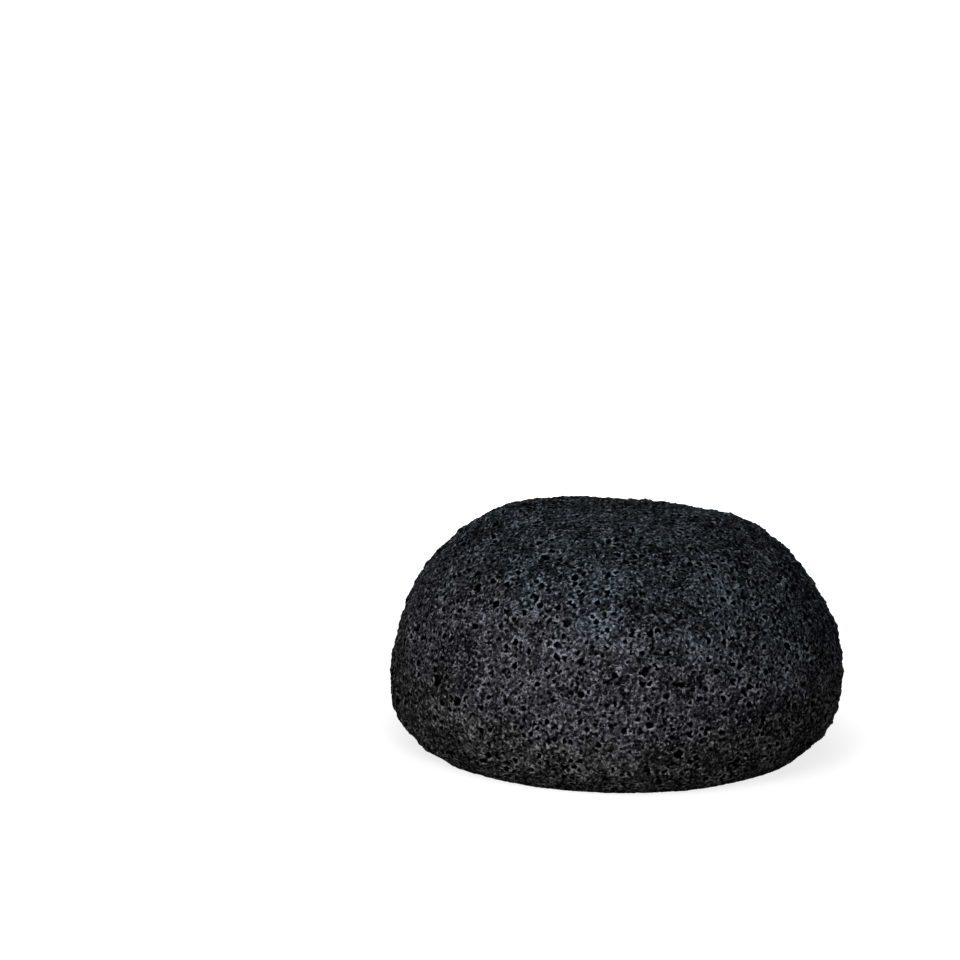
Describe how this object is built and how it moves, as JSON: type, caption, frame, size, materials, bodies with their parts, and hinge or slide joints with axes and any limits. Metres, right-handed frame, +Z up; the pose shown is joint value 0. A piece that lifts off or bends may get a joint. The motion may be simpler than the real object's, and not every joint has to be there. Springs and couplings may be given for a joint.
{
  "type": "konjac sponge",
  "caption": "Rounded dark charcoal konjac sponge with open pores all over and a flat base, held in the hand to wash the face.",
  "frame": {"origin": "centre of the flat base, on the surface the sponge lies on", "axes": "+Z up through the crown, +X along the wider side of the oval, -Y towards the side that the picture shows"},
  "size_m": [0.08, 0.072, 0.042],
  "materials": {
    "charcoal_foam": "matte open-celled foam"
  },
  "bodies": {
    "root": {"sponge_body": "charcoal_foam"}
  },
  "joints": []
}
